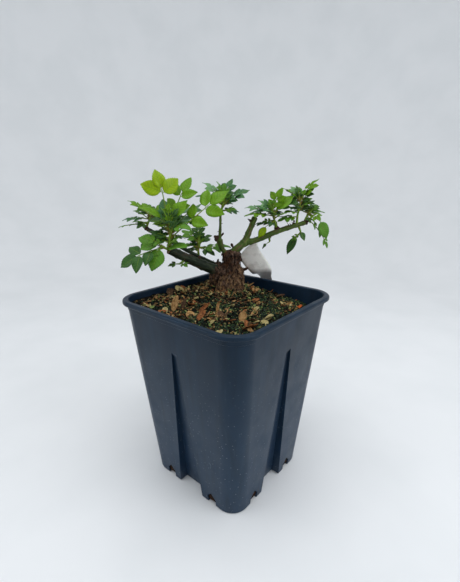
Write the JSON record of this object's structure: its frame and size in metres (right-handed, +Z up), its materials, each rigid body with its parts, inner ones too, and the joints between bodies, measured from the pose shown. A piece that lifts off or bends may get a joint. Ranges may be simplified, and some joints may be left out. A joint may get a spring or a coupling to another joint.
{
  "type": "potted polyantha rose",
  "caption": "Hard-pruned bushy rose with a swollen trunk, bare canes and sprays of pinnate leaves, in a tall square grooved nursery pot that stands on its flat underside",
  "frame": {"origin": "centre of the pot's flat underside, at the mount named base", "axes": "+Z up along the pot's axis; X and Y run parallel to the pot's sides; the picture's camera looks from +X and -Y"},
  "size_m": [0.236, 0.2523, 0.3594],
  "materials": {
    "pot_plastic": "satin moulded polypropylene, dark blue-grey, lightly dusty",
    "soil_and_litter": "dark potting soil under dry brown leaves, bark bits and moss",
    "old_bark": "rough fibrous brown bark",
    "cane_bark": "smooth olive green to dark green-brown bark with scattered thorns",
    "label_plastic": "off-white satin plastic sheet, blank",
    "rose_leaf": "slightly glossy leaf, bright yellow-green to dark blue-green"
  },
  "bodies": {
    "root": {"pot": "pot_plastic", "soil": "soil_and_litter", "trunk": "old_bark", "cane_back_short": "cane_bark", "cane_left_thick": "cane_bark", "cane_left_thin": "cane_bark", "cane_middle": "cane_bark", "cane_right_long": "cane_bark", "cane_right_stub": "cane_bark", "plant_label": "label_plastic", "foliage_left_bud": "rose_leaf", "foliage_left_low": "rose_leaf", "foliage_left_mid": "rose_leaf", "foliage_left_tip": "rose_leaf", "foliage_left_top": "rose_leaf", "foliage_middle": "rose_leaf", "foliage_right_bud": "rose_leaf", "foliage_right_hang": "rose_leaf", "foliage_right_in": "rose_leaf", "foliage_right_out": "rose_leaf", "foliage_right_tip": "rose_leaf"}
  },
  "joints": []
}
